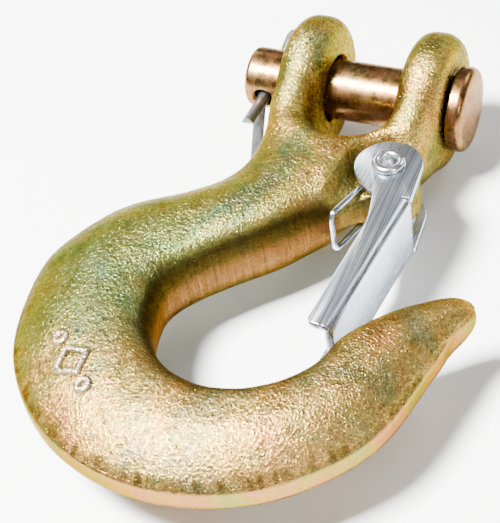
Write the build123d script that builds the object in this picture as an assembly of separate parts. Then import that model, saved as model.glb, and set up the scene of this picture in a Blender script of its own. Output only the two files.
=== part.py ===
from build123d import *
import os
from math import cos, sin, radians, hypot

# A forged clevis slip hook with a sprung safety latch. Millimetres.
# +Y runs up the shank to the clevis, +X along the clevis pin towards its head, and +Z is square
# to the hook's flat sides. The origin is the middle of the clevis pin, midway between the ears.

# clevis
pin_d = 11.1            # 7/16 in clevis pin
bore_d = 11.2           # bore through both ears, a running fit on the pin
gap = 14.0              # between the ears
gap_depth = 17.5        # from the pin's centre to the crotch
ear_r = 13.1            # boss of each ear
ear_face = 15.5         # half the width over the two ears
cheek = 7.8             # half the thickness of the neck under the ears
neck_end = -15.5        # where the ears' taper has come down to the neck's thickness
neck_len = 4.0
ear_round = 2.8         # forged edge round the outer face of each ear
gap_round = 2.0         # and round its inner face

# hook
bowl = (0.2, -60.0)     # centre of the bowl's inner face
bowl_r = 15.4
back = (-3.8, -59.5)    # centre of the round outer edge
back_r = 34.8
shoulder_r = 26.5       # outer edge above the widest point
heel_r = 11.1           # inner face between the bowl and the straight shank
shank_line = 39.8       # the shank's inner face is the line y = x - shank_line
crest_h = 7.8           # half the thickness at the crest of the section
land_h = 2.0            # half the width of the flat land along the outer edge
crest_at = 0.6          # where the crest lies, as a share of the section from the outer edge
rim_full = 0.82         # fullness of the turn from the crest to the inner wall; 0.55 is an ellipse

# latch, pivoting on a rivet through a thin lug at the side of the neck
pivot = (11.6, -24.0)
lug_r = 5.2
lug_half = 3.3
pocket_r = 7.2          # cleared round the lug for the latch's round tabs
pocket_foot = (8.6, -36.5)      # and down the shank for the spring's loop
pocket_foot_r = 4.6
rivet_clear = 0.05      # round the rivet in the lug
latch_half = 6.6        # half the width over the channel
sheet = 1.3
tab_r = 5.8
web_top = (17.9, -31.2)
web_foot = (15.1, -61.2)
arm_depth = 4.4         # from the web's outer face to the free edge of an arm
arm_corner = 1.0        # off the arm's lower free corner
tab_clear = 0.08        # round the rivet in a tab

# rivet: semi-tubular, domed head at the back, rolled end at the front
rivet_r = 2.1
rivet_bore_r = 1.3
rivet_roll_r = 2.9
rivet_head_r = 3.7
rivet_head_t = 1.3
rivet_stand = 1.0       # the rolled end's height
rivet_play = 0.1        # between the latch's faces and the rivet's ends
rivet_bore_depth = 2.5

# spring
wire_r = 0.55
coil_wire_r = 0.6       # a coil, a little fuller than the straight runs it joins
coil_r = 3.0            # to the wire's centre
strand_z = 4.3
bridge = (5.2, -36.2)   # where the loop bears on the shank
web_leg = (15.2, -35.5)     # where a leg ends inside the web

# pin head, cross hole and cotter
head_r = 7.7
head_t = 3.2
head_round = 1.2
head_gap = 0.3
pin_left = -23.6
pin_chamfer = 0.9
cross_x = -19.8
cross_r = 1.8
cross_tilt = 5.0        # degrees that the cross hole's open end dips below -Y
leg_r = 1.15            # the two half-round legs together make this radius
leg_stub = 1.5          # straight run past the pin before a leg bends
eye_r = 2.3             # to the middle of the eye's wire
eye_wire_r = 0.85
eye_stand = 0.9         # the eye's wire centre above the pin
upper_leg = (8.0, 6.0)      # degrees bent away from the hole's line, and length past the bend
lower_leg = (56.0, 10.5)


def polar(centre, radius, angle):
    return (centre[0] + radius * cos(radians(angle)), centre[1] + radius * sin(radians(angle)))


# ---- hook body -------------------------------------------------------------------------------

# A section of the hook from its outer edge to its inner face: a flat land, a parabola that leaves
# it at about 45 degrees and ends level at the crest, and a full-shouldered turn to the inner face.
def hook_section(outer, inner, crest, land):
    ux, uy = inner[0] - outer[0], inner[1] - outer[1]
    width = hypot(ux, uy)
    top = width * crest_at
    fall_to = width - top
    rise = Bezier((0, land), (top / 2, crest), (top, crest))
    fall = Bezier((top, crest), (top + rim_full * fall_to, crest), (width, rim_full * crest), (width, 0))
    half = [rise, fall]
    edges = [Line((0, -land), (0, land))] + half + [edge.mirror(Plane.XZ) for edge in half]
    plane = Plane(origin=(*outer, 0), x_dir=(ux, uy, 0), z_dir=(uy, -ux, 0))
    return plane * make_face(Wire(edges))


def shank_point(x):
    return (x, x - shank_line)


shoulder = (back[0] - back_r + shoulder_r, back[1])
heel = (bowl[0] - bowl_r + heel_r, bowl[1])

stations = [
    ((33.4, -46.3), (31.9, -45.4), 1.5, 0.8),           # blunt end of the tip
    ((33.9, -48.2), (29.0, -46.7), 3.3, 1.6),
    ((33.2, -50.9), (25.4, -49.8), 4.6, land_h),
    ((31.9, -54.2), (20.9, -53.9), 5.6, land_h),
    ((30.9, -60.0), (16.0, -60.8), 6.8, land_h),
]
for angle, crest in ((-30, 7.4), (-60, crest_h), (-90, crest_h), (-120, crest_h),
                     (-150, crest_h), (-180, crest_h)):
    stations.append((polar(back, back_r, angle), polar(bowl, bowl_r, angle), crest, land_h))
for angle in (157, 135):
    stations.append((polar(shoulder, shoulder_r, angle), polar(heel, heel_r, angle), crest_h, land_h))
stations += [
    ((-22.6, -35.3), shank_point(-8.0), crest_h, land_h),
    ((-16.3, -30.6), shank_point(-2.5), crest_h, 3.0),
    ((-13.7, -24.4), (4.5, -34.0), crest_h, 4.0),
    ((-13.8, -18.5), (12.6, -25.5), crest_h, 5.0),
    ((-15.0, -9.5), (15.5, -12.5), crest_h, 6.0),
]
hook_sweep = loft([hook_section(*station) for station in stations])

# The two ears and the top of the neck: the side view of an ear run right across and slotted, with
# the edges of its outer and inner faces forged round.
neck_joint = Pos(neck_end + neck_len / 2, 0) * Rectangle(neck_len, 2 * cheek)
ear_side = make_hull(Circle(ear_r).edges() + neck_joint.edges())
slot = extrude(make_hull((Pos(0, gap / 2 - gap_depth) * Circle(gap / 2)).edges()
                         + (Pos(0, 2 * ear_r) * Rectangle(gap, gap)).edges()), 2 * ear_r, both=True)
yoke = extrude(Plane.YZ * ear_side, ear_face, both=True)
yoke = fillet([edge for face in yoke.faces().filter_by(Axis.X) for edge in face.edges()], ear_round)
yoke -= slot
yoke = fillet([edge for face in yoke.faces().filter_by(Axis.X) if abs(face.center().X) < ear_face - 1
               for edge in face.edges().filter_by(GeomType.CIRCLE)], gap_round)

lug = extrude(Pos(*pivot) * Circle(lug_r), lug_half, both=True)
pocket_shape = make_hull((Pos(*pivot) * Circle(pocket_r)).edges()
                         + (Pos(*pocket_foot) * Circle(pocket_foot_r)).edges())
pocket = Pos(0, 0, lug_half) * extrude(pocket_shape, ear_r)
pockets = pocket + pocket.mirror(Plane.XY)

hook_body = (hook_sweep - slot + yoke - pockets) + lug
hook_body -= Plane.YZ * Cylinder(bore_d / 2, 4 * ear_face)
hook_body -= Pos(*pivot) * Cylinder(rivet_r + rivet_clear, 2 * ear_r)

# ---- clevis pin --------------------------------------------------------------------------------

head_x = ear_face + head_gap
shank = Plane.YZ.offset(pin_left) * extrude(Circle(pin_d / 2), head_x - pin_left)
shank = chamfer(shank.faces().sort_by(Axis.X)[0].edges(), pin_chamfer)
head = Plane.YZ.offset(head_x) * extrude(Circle(head_r), head_t)
head = fillet(head.faces().sort_by(Axis.X)[-1].edges(), head_round)
clevis_pin = shank + head

# The cross hole runs square to the pin, tilted; the cotter's own frame has +Z out of its legs.
cotter_frame = Plane(origin=(cross_x, 0, 0), x_dir=(1, 0, 0),
                     z_dir=(0, -cos(radians(cross_tilt)), -sin(radians(cross_tilt))))
clevis_pin -= cotter_frame * Cylinder(cross_r, 2 * pin_d)


# ---- cotter pin --------------------------------------------------------------------------------

# Two half-round legs back to back. Each is a half disc carried along its straight run in the
# hole and then along its bent end; a ring of the same wire makes the eye.
def leg(side, bend, length):
    half_disc = Circle(leg_r) & (Pos(0, side * leg_r) * Rectangle(2 * leg_r, 2 * leg_r))
    reach = pin_d / 2 + leg_stub
    run = Pos(0, 0, -reach) * extrude(half_disc, 2 * reach)
    return run + Pos(0, 0, reach) * Rot(X=-side * bend) * extrude(half_disc, length)


eye = Pos(0, 0, -pin_d / 2 - eye_r - eye_stand) * Rot(Y=90) * Torus(eye_r, eye_wire_r)
cotter_pin = cotter_frame * (leg(1, *upper_leg) + leg(-1, *lower_leg) + eye)

# ---- latch -------------------------------------------------------------------------------------

web_run = (web_foot[0] - web_top[0], web_foot[1] - web_top[1])
web_len = hypot(*web_run)
inward = (web_run[1] / web_len, -web_run[0] / web_len)      # from the web's outer face to the bowl


def off_web(point, depth):
    return (point[0] + inward[0] * depth, point[1] + inward[1] * depth)


arm_low = (web_foot[0] - web_run[0] / web_len * arm_corner, web_foot[1] - web_run[1] / web_len * arm_corner)
arm = make_face(Polyline(
    web_top, web_foot, off_web(web_foot, arm_depth - arm_corner), off_web(arm_low, arm_depth),
    (12.6, -39.5), (12.4, -36.5), (8.6, -28.0), (16.9, -25.5), web_top))
cheek_plate = arm + Pos(*pivot) * Circle(tab_r) - Pos(*pivot) * Circle(rivet_r + tab_clear)
flange = Pos(0, 0, latch_half - sheet) * extrude(cheek_plate, sheet)
web = make_face(Polyline(web_top, web_foot, off_web(web_foot, sheet), off_web(web_top, sheet), web_top))
latch = extrude(web, latch_half, both=True) + flange + flange.mirror(Plane.XY)

# ---- latch rivet -------------------------------------------------------------------------------

rivet_half = latch_half + rivet_play
rivet = Pos(*pivot) * Cylinder(rivet_r, 2 * rivet_half)
roll = Pos(*pivot, rivet_half + rivet_stand / 2) * Cylinder(rivet_roll_r, rivet_stand)
roll = fillet(roll.edges().filter_by(GeomType.CIRCLE), rivet_stand * 0.45)
back_head = Pos(*pivot, -rivet_half - rivet_head_t / 2) * Cylinder(rivet_head_r, rivet_head_t)
back_head = fillet(back_head.faces().sort_by(Axis.Z)[0].edges(), rivet_head_t * 0.7)
rivet_bore = Pos(*pivot, latch_half) * Cylinder(rivet_bore_r, 2 * rivet_bore_depth)
latch_rivet = rivet + roll + back_head - rivet_bore

# ---- latch spring ------------------------------------------------------------------------------

# Double torsion spring: a coil on each side of the lug, joined by a loop that bears on the shank,
# with a leg from each coil down the inside of the web.
def wire_run(points):
    run = Pos(*points[0]) * Sphere(wire_r)
    for start, end in zip(points, points[1:]):
        step = Vector(*end) - Vector(*start)
        length = step.length
        run += Plane(origin=start, z_dir=step) * Pos(0, 0, length / 2) * Cylinder(wire_r, length)
        run += Pos(*end) * Sphere(wire_r)
    return run


latch_spring = wire_run([(*bridge, -strand_z), (*bridge, strand_z)])
for z in (-strand_z, strand_z):
    latch_spring += Pos(*pivot, z) * Torus(coil_r, coil_wire_r)
    latch_spring += wire_run([(*polar(pivot, coil_r, 195), z), (*bridge, z)])
    latch_spring += wire_run([(*polar(pivot, coil_r, 0), z), (*web_leg, z)])

# ---- files -------------------------------------------------------------------------------------

os.makedirs("parts", exist_ok=True)
nodes = {
    "hook_body": hook_body,
    "clevis_pin": clevis_pin,
    "cotter_pin": cotter_pin,
    "latch": latch,
    "latch_rivet": latch_rivet,
    "latch_spring": latch_spring,
}
for name, solid in nodes.items():
    export_step(solid, f"parts/{name}.step")
    print(name, round(solid.volume), "mm3")
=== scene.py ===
import math

import bpy
import numpy as np
from mathutils import Matrix, Vector


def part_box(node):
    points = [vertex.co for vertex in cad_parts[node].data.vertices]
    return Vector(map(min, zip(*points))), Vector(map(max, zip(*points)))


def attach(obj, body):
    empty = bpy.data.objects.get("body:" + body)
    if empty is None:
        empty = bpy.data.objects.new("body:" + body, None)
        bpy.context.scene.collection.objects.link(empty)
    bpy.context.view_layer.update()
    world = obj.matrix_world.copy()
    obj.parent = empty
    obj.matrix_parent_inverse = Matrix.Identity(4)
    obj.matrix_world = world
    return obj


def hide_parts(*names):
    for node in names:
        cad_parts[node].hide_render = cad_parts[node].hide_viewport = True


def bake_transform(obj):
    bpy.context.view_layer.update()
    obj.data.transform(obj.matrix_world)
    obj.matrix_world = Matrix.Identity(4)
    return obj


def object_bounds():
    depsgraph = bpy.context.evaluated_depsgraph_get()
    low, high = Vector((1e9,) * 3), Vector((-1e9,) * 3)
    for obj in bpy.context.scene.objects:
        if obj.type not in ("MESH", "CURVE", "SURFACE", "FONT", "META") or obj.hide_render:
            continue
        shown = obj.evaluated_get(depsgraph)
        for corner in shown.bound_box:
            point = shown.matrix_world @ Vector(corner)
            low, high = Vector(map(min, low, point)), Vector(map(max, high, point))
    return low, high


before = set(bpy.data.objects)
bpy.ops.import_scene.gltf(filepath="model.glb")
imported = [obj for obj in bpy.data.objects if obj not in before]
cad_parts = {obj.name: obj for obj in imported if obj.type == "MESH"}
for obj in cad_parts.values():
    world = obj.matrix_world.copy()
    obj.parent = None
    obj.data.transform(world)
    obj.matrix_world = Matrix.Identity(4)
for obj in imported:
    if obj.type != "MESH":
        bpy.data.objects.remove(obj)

mm = 0.001
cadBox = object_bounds()
print("frame loaded, CAD box", [round(v / mm, 1) for v in (*cadBox[0], *cadBox[1])])


# sRGB hex to linear: c / 12.92 below 0.04045, else ((c + 0.055) / 1.055) to the power 2.4
def tone(hexText):
    values = np.array([int(hexText[i:i + 2], 16) for i in (0, 2, 4)]) / 255.0
    linear = np.where(values <= 0.04045, values / 12.92, ((values + 0.055) / 1.055) ** 2.4)
    return (*linear.tolist(), 1.0)


# A node with its own properties (settings), its unlinked inputs (values) and what feeds it (links).
def addNode(tree, kind, settings={}, values={}, links={}):
    node = tree.nodes.new(kind)
    for name, value in settings.items():
        setattr(node, name, value)
    for name, value in values.items():
        node.inputs[name].default_value = value
    for name, socket in links.items():
        tree.links.new(socket, node.inputs[name])
    return node


# Catmull-Rom through rows of values: on each span the cubic with the span's ends and with half the
# chord from the row before to the row after as its slope at each end. count rows come back.
def smoothRun(rows, count):
    rows = np.asarray(rows, float)
    padded = np.vstack([2 * rows[0] - rows[1], rows, 2 * rows[-1] - rows[-2]])
    at = np.linspace(0, len(rows) - 1 - 1e-9, count)
    span = at.astype(int)
    t = (at - span)[:, None]
    before, start, end, after = (padded[span + k] for k in range(4))
    return 0.5 * (2 * start + (end - before) * t
                  + (2 * before - 5 * start + 4 * end - after) * t ** 2
                  + (3 * start - before - 3 * end + after) * t ** 3)


def ease(x):    # smoothstep: 3x^2 - 2x^3 between 0 and 1
    x = np.clip(x, 0, 1)
    return x * x * (3 - 2 * x)


# Value noise: a seeded table of -1..1 on a lattice of the given size, mixed over the eight corners of
# each cell with smoothstep weights.
def lumps(points, size, seed):
    table = np.random.default_rng(seed).uniform(-1, 1, (32, 32, 32))
    cell = np.asarray(points) / size + 400.0
    low = np.floor(cell).astype(int)
    part = ease(cell - low)
    total = np.zeros(len(cell))
    for dx in (0, 1):
        for dy in (0, 1):
            for dz in (0, 1):
                weight = (np.abs(1 - dx - part[:, 0]) * np.abs(1 - dy - part[:, 1])
                          * np.abs(1 - dz - part[:, 2]))
                i, j, k = ((low + (dx, dy, dz)) % 32).T
                total += weight * table[i, j, k]
    return total


# Quads between neighbouring rows of a rows x cols grid whose rows close on themselves.
def ringFaces(rows, cols):
    i, j = np.meshgrid(np.arange(rows - 1), np.arange(cols), indexing="ij")
    a, b = i * cols + j, i * cols + (j + 1) % cols
    return np.stack([a, b, b + cols, a + cols], axis=-1).reshape(-1, 4).tolist()


def makePiece(name, points, faces):
    mesh = bpy.data.meshes.new(name)
    mesh.from_pydata((np.asarray(points, float) * mm).tolist(), [], faces)
    piece = bpy.data.objects.new(name, mesh)
    bpy.context.scene.collection.objects.link(piece)
    return piece


# A closed skin over a grid of rings, rows x cols x 3: quads between the rings and one flat face over
# each end ring. Turned outwards by the sign of its volume, the sum of a . (b x c) / 6.
def ringSkin(name, grid):
    rows, cols = grid.shape[:2]
    points = grid.reshape(-1, 3)
    faces = ringFaces(rows, cols)
    quads = points[np.array(faces)]
    a, b, c, d = (quads[:, k] for k in range(4))
    first, last = points[:cols], points[-cols:]
    volume = (np.einsum("ij,ij->i", a, np.cross(b, c)) + np.einsum("ij,ij->i", a, np.cross(c, d))).sum()
    volume += np.einsum("ij,ij->i", last[:1].repeat(cols - 1, 0), np.cross(last[:-1], last[1:])).sum()
    volume -= np.einsum("ij,ij->i", first[:1].repeat(cols - 1, 0), np.cross(first[:-1], first[1:])).sum()
    faces += [list(range(cols))[::-1], list(range((rows - 1) * cols, rows * cols))]
    if volume < 0:
        faces = [face[::-1] for face in faces]
    return makePiece(name, points, faces)


# A loop: a grid of rings whose last ring joins the first.
def loopSkin(name, grid):
    rows, cols = grid.shape[:2]
    i, j = np.meshgrid(np.arange(rows), np.arange(cols), indexing="ij")
    a, b = i * cols + j, i * cols + (j + 1) % cols
    c, d = (i + 1) % rows * cols + (j + 1) % cols, (i + 1) % rows * cols + j
    piece = makePiece(name, grid.reshape(-1, 3), np.stack([a, b, c, d], axis=-1).reshape(-1, 4).tolist())
    turnOut(piece)
    return piece


def turnOut(piece):
    points, corners = meshArrays(piece)
    a, b, c = (points[corners[:, k]] for k in range(3))
    if np.einsum("ij,ij->i", a, np.cross(b, c)).sum() < 0:
        piece.data.flip_normals()


# Vertex places in millimetres, and the triangles' corners.
def meshArrays(piece):
    mesh = piece.data
    points = np.empty(len(mesh.vertices) * 3, np.float32)
    mesh.vertices.foreach_get("co", points)
    mesh.calc_loop_triangles()
    corners = np.empty(len(mesh.loop_triangles) * 3, np.int32)
    mesh.loop_triangles.foreach_get("vertices", corners)
    return points.reshape(-1, 3).astype(float) / mm, corners.reshape(-1, 3)


def placePoints(piece, points):
    piece.data.vertices.foreach_set("co", (points * mm).astype(np.float32).ravel())
    piece.data.update()


# Runs modifiers for good. Each is a kind and its settings; a tool piece in them is deleted after.
def applyModifiers(piece, *steps):
    for kind, settings in steps:
        modifier = piece.modifiers.new(kind.title(), kind)
        for name, value in settings.items():
            setattr(modifier, name, value)
    seen = piece.evaluated_get(bpy.context.evaluated_depsgraph_get())
    mesh = bpy.data.meshes.new_from_object(seen)
    piece.modifiers.clear()
    piece.data = mesh
    for kind, settings in steps:
        if "object" in settings:
            bpy.data.objects.remove(settings["object"])
    return piece


def cut(piece, *tools):
    return applyModifiers(piece, *[("BOOLEAN", dict(operation="DIFFERENCE", solver="MANIFOLD", object=tool))
                                   for tool in tools])


def weld(piece, *others):
    return applyModifiers(piece, *[("BOOLEAN", dict(operation="UNION", solver="MANIFOLD", object=other))
                                   for other in others])


def shadeSmooth(piece, angle):
    piece.data.shade_smooth()
    piece.data.set_sharp_from_angle(angle=math.radians(angle))


# A profile of (distance along the axis, radius) pairs turned about an axis through centre: each pair
# gives a circle, radius (side cos t + up sin t), at that distance along it.
def turned(name, profile, centre, axis, side, around=96):
    profile = np.asarray(profile, float)
    axis, side = np.asarray(axis, float), np.asarray(side, float)
    t = np.linspace(0, 2 * np.pi, around, endpoint=False)
    circle = np.cos(t)[:, None] * side + np.sin(t)[:, None] * np.cross(axis, side)
    grid = (np.asarray(centre, float) + profile[:, :1, None] * axis + profile[:, 1:, None] * circle[None])
    return ringSkin(name, grid)


# Points of an arc of (x, y) about a centre, angles in degrees.
def arc(centre, radius, start, end, count):
    t = np.radians(np.linspace(start, end, count))
    return np.stack([centre[0] + radius * np.cos(t), centre[1] + radius * np.sin(t)], axis=-1)


# Rings for a round wire, r (side cos t + up sin t), to add to the points of its path. Each side vector
# is the last one less what of it points along the path there, so the rings never twist.
def wireRings(path, radius, around=16):
    along = np.gradient(path, axis=0)
    along /= np.linalg.norm(along, axis=1)[:, None]
    side = np.empty_like(path)
    side[0] = np.cross(along[0], (0.31, 0.17, 0.93))
    for k in range(1, len(path)):
        side[k] = side[k - 1] - along[k] * (side[k - 1] @ along[k])
    side /= np.linalg.norm(side, axis=1)[:, None]
    up = np.cross(along, side)
    t = np.linspace(0, 2 * np.pi, around, endpoint=False)
    ring = np.cos(t)[None, :, None] * side[:, None] + np.sin(t)[None, :, None] * up[:, None]
    return ring * radius


# Camera: where it stands, what it looks at and how it is rolled, in millimetres and degrees.
view = dict(place=(81.89, -198.2, 176.36), target=(-5.64, -45.75, 0.0), roll=-10.25, lens=103.25)


def setCamera():
    data = bpy.data.cameras.new("camera")
    data.lens, data.sensor_width = view["lens"], 36
    data.clip_start, data.clip_end = 0.01, 10
    camera = bpy.data.objects.new("camera", data)
    place, target = Vector(view["place"]), Vector(view["target"])
    look = (target - place).to_track_quat("-Z", "Y").to_matrix().to_4x4()
    camera.matrix_world = (Matrix.Translation(place * mm) @ look
                           @ Matrix.Rotation(math.radians(view["roll"]), 4, "Z"))
    bpy.context.scene.collection.objects.link(camera)
    bpy.context.scene.camera = camera


setCamera()

# The forged body: a section carried from the blunt tip, round the bowl and up the neck. Each station
# has its outer and inner point in plan, half its thickness at the crest and half its outer land.
body = dict(
    bowl=(0.2, -60.0), bowlRadius=15.4, back=(-3.8, -59.5), backRadius=34.8,
    shoulderRadius=26.5, heelRadius=11.1, shankLine=39.8,
    crest=7.8, throat=7.4, land=2.0, crestAt=0.6, fallPower=3.3, barPower=2.6,
    boreRadius=6.0, gap=14.0, gapDepth=17.5, earRadius=13.1, earFace=15.5, earRound=3.6,
    neckEnd=-15.5, lip=0.55, lipWidth=0.45, voxel=0.45,
)


def onCircle(centre, radius, angle):
    t = math.radians(angle)
    return centre[0] + radius * math.cos(t), centre[1] + radius * math.sin(t)


def bodyStations():
    b = body
    rows = [(33.4, -46.3, 31.9, -45.4, 1.5, 0.8), (33.9, -48.2, 29.0, -46.7, 3.3, 1.6),
            (33.2, -50.9, 25.4, -49.8, 4.6, 2.0), (31.9, -54.2, 20.9, -53.9, 5.6, 2.0),
            (30.9, -60.0, 16.0, -60.8, 6.8, 2.0)]
    for angle in range(-30, -181, -30):
        rows.append((*onCircle(b["back"], b["backRadius"], angle),
                     *onCircle(b["bowl"], b["bowlRadius"], angle),
                     b["throat"] if angle == -30 else b["crest"], b["land"]))
    shoulder = (b["back"][0] - b["backRadius"] + b["shoulderRadius"], b["back"][1])
    heel = (b["bowl"][0] - b["bowlRadius"] + b["heelRadius"], b["bowl"][1])
    for angle in (157, 135):
        rows.append((*onCircle(shoulder, b["shoulderRadius"], angle),
                     *onCircle(heel, b["heelRadius"], angle), b["crest"], b["land"]))
    high = b["crest"]
    rows += [(-22.6, -35.3, -8.0, -8.0 - b["shankLine"], high, 2.0),
             (-16.3, -30.6, -2.5, -2.5 - b["shankLine"], high, 3.0),
             (-13.7, -24.4, 4.5, -34.0, high, 4.0), (-13.8, -18.5, 12.6, -25.5, high, 5.0),
             (-15.0, -9.5, 15.5, -12.5, high, 6.0)]
    return np.array(rows)


# Height of the upper side over a share s of the width: a parabola from the land to the crest, then a
# superellipse down to the inner face, |x|^n + |z|^n = 1 with n the fall power.
def sectionHeight(s, crest, land):
    c, n = body["crestAt"], body["fallPower"]
    rise = land + (crest - land) * (1 - (1 - np.clip(s / c, 0, 1)) ** 2)
    fall = crest * (1 - np.clip((s - c) / (1 - c), 0, 1) ** n) ** (1 / n)
    return np.where(s < c, rise, fall)


# One ring of the section: shares of the width and heights, crowded where the section turns.
def sectionRing(crest, land):
    c, n = body["crestAt"], body["fallPower"]
    rise = np.linspace(0, 1, 26)[None] ** 1.25
    turn = np.linspace(0, np.pi / 2, 30)[None, 1:]
    share = np.concatenate([c * rise, c + (1 - c) * np.sin(turn) ** (2 / n)], axis=1)
    high = np.concatenate([land[:, None] + (crest - land)[:, None] * (1 - (1 - rise) ** 2),
                           crest[:, None] * np.cos(turn).clip(0) ** (2 / n)], axis=1)
    share = np.repeat(share, len(crest), axis=0)
    landRun = np.linspace(0, 1, 5)[None, :-1]
    share = np.concatenate([np.zeros((len(crest), 4)), share], axis=1)
    high = np.concatenate([land[:, None] * landRun, high], axis=1)
    return (np.concatenate([share, share[:, -2:0:-1]], axis=1),
            np.concatenate([high, -high[:, -2:0:-1]], axis=1))


def hookSweep(run):
    share, high = sectionRing(run[:, 4], run[:, 5])
    outer, inner = run[:, None, 0:2], run[:, None, 2:4]
    plan = outer + (inner - outer) * share[:, :, None]
    return ringSkin("hookSweep", np.concatenate([plan, high[:, :, None]], axis=2))


# Half the height of an ear over y: the boss circle, then its tangent down to the neck.
def earHeight(y):
    circle = np.sqrt(np.clip(body["earRadius"] ** 2 - y ** 2, 0, None))
    fromNeck = np.array([body["neckEnd"], body["crest"]])
    reach = np.linalg.norm(fromNeck)
    turn = math.atan2(*fromNeck[::-1]) - math.acos(body["earRadius"] / reach)
    touch = body["earRadius"] * np.array([math.cos(turn), math.sin(turn)])
    slope = (touch[1] - fromNeck[1]) / (touch[0] - fromNeck[0])
    tangent = fromNeck[1] + slope * (y - fromNeck[0])
    return np.clip(np.where(y > touch[0], circle, tangent), body["crest"], None)


# The clevis: a flattened round bar, |a|^n + |z|^n = 1 with n the bar power, bent in a U below the pin.
def clevisBend():
    half = (body["earFace"] - body["gap"] / 2) / 2
    mid = body["gap"] / 2 + half
    low = body["gap"] / 2 - body["gapDepth"]
    straight = np.linspace(0.5, low, 24)
    bend = arc((0, low), mid, 180, 360, 60)
    path = np.concatenate([np.stack([0 * straight - mid, straight], -1), bend[1:-1],
                           np.stack([0 * straight + mid, straight[::-1]], -1)])
    along = np.gradient(path, axis=0)
    along /= np.linalg.norm(along, axis=1)[:, None]
    across = np.stack([-along[:, 1], along[:, 0]], -1)
    t = np.linspace(0, 2 * np.pi, 48, endpoint=False)
    squared = 2 / body["barPower"]
    a = half * np.sign(np.cos(t)) * np.abs(np.cos(t)) ** squared
    z = np.sign(np.sin(t)) * np.abs(np.sin(t)) ** squared
    high = earHeight(path[:, 1])[:, None] * z[None]
    plan = path[:, None] + across[:, None] * a[None, :, None]
    return ringSkin("clevisBend", np.concatenate([plan, high[:, :, None]], axis=2))


# An ear's boss: a disc about the pin's line with a rim rounded by a quarter circle on each side.
def earBoss(side):
    r, e = body["earRadius"], body["earRound"]
    inside, outside = body["gap"] / 2, body["earFace"]
    t = np.linspace(0, np.pi / 2, 14)
    profile = np.concatenate([
        [(inside, 0.01), (inside, r - e - 2)],
        np.stack([inside + e * (1 - np.cos(t)), r - e + e * np.sin(t)], -1),
        np.stack([outside - e * (1 - np.sin(t)), r - e + e * np.cos(t)], -1),
        [(outside, r - e - 2), (outside, 0.01)]])
    return turned("earBoss", profile * (side, 1), (0, 0, 0), (1, 0, 0), (0, 1, 0))


# The gap between the ears as a tool: a U outline whose wall leans out above and below, so that it stays
# just inside the bend's own rounded skin, |a|^n + |z|^n = 1.
def clevisGap():
    half = (body["earFace"] - body["gap"] / 2) / 2
    high = np.array([-20, -7.9, -7.7, -7.2, -6.4, -5, -3, 0, 3, 5, 6.4, 7.2, 7.7, 7.9, 20.0])
    n = body["barPower"]
    lean = half * (1 - (1 - np.clip(np.abs(high) / body["crest"], 0, 1) ** n) ** (1 / n)) + 0.4
    low = body["gap"] / 2 - body["gapDepth"]
    rings = []
    for z, out in zip(high, lean):
        radius = body["gap"] / 2 + out
        wall = np.concatenate([arc((0, low), radius, 180, 360, 60), [(radius, 20), (-radius, 20)]])
        rings.append(np.c_[wall, np.full(len(wall), z)])
    return ringSkin("clevisGap", np.stack(rings))


# The latch's seat: a lug between two hollows. A hollow's outline is the hull of two circles, found for
# each outward direction as the circle that reaches furthest that way, and it widens upwards.
seat = dict(pivot=(11.6, -24.0), lugRadius=5.2, lugHalf=3.3, hollowRadius=7.2, foot=(8.6, -36.5),
            footRadius=4.6, flare=1.3, rivetHole=2.2)


def latchHollow(side):
    levels = np.array([0.0, 0.25, 0.8, 1.6, 2.6, 3.6, 4.6, 6.0, 10.0])
    grow = seat["flare"] * np.array([-1.5, -0.9, -0.5, -0.22, 0.0, 0.22, 0.5, 1.1, 3.0])
    t = np.linspace(0, 2 * np.pi, 120, endpoint=False)
    way = np.stack([np.cos(t), np.sin(t)], -1)
    pivot, foot = np.array(seat["pivot"]), np.array(seat["foot"])
    nearPivot = (way @ pivot + seat["hollowRadius"] > way @ foot + seat["footRadius"])[None, :, None]
    plan = np.where(nearPivot, pivot + (seat["hollowRadius"] + grow)[:, None, None] * way,
                    foot + (seat["footRadius"] + grow)[:, None, None] * way)
    high = np.broadcast_to(side * (seat["lugHalf"] + levels)[:, None, None], (*plan.shape[:2], 1))
    return ringSkin("latchHollow", np.concatenate([plan, high], axis=2))


# Weighted smoothing: each round moves every vertex part of the way to the mean of its neighbours.
def smooth(points, edges, weight, rounds):
    count = len(points)
    degree = np.bincount(edges.ravel(), minlength=count)[:, None]
    for k in range(rounds):
        total = np.stack([np.bincount(edges[:, 0], points[edges[:, 1], axis], count)
                          + np.bincount(edges[:, 1], points[edges[:, 0], axis], count)
                          for axis in range(3)], axis=-1)
        points = points + weight[:, None] * (total / degree - points)
    return points


# A vertex normal is the sum of its triangles' normals, each as long as the triangle is large.
def vertexNormals(points, corners):
    a, b, c = (points[corners[:, k]] for k in range(3))
    normal = np.cross(b - a, c - a)
    total = np.stack([sum(np.bincount(corners[:, k], normal[:, axis], len(points)) for k in range(3))
                      for axis in range(3)], axis=-1)
    return total / np.linalg.norm(total, axis=1)[:, None].clip(1e-9)


def edgePairs(piece):
    pairs = np.empty(len(piece.data.edges) * 2, np.int32)
    piece.data.edges.foreach_get("vertices", pairs)
    return pairs.reshape(-1, 2)


# Where each point lies on the sweep: the distance along it of the nearest station in plan, the share of
# the width from that station's outer edge, (p - outer) . across / across^2, and that station's land.
def onSweep(points, run):
    middle = ((run[:, 0:2] + run[:, 2:4]) / 2).astype(np.float32)
    plan = points[:, :2].astype(np.float32)
    nearest = np.concatenate([((part[:, None] - middle[None]) ** 2).sum(2).argmin(1)
                              for part in np.array_split(plan, 24)])
    outer, across = run[nearest, 0:2], run[nearest, 2:4] - run[nearest, 0:2]
    share = ((points[:, :2] - outer) * across).sum(1) / (across ** 2).sum(1)
    step = np.linalg.norm(np.diff(middle, axis=0), axis=1)
    along = np.concatenate([[0], np.cumsum(step)])[nearest]
    return along, share, run[nearest, 5]


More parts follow.
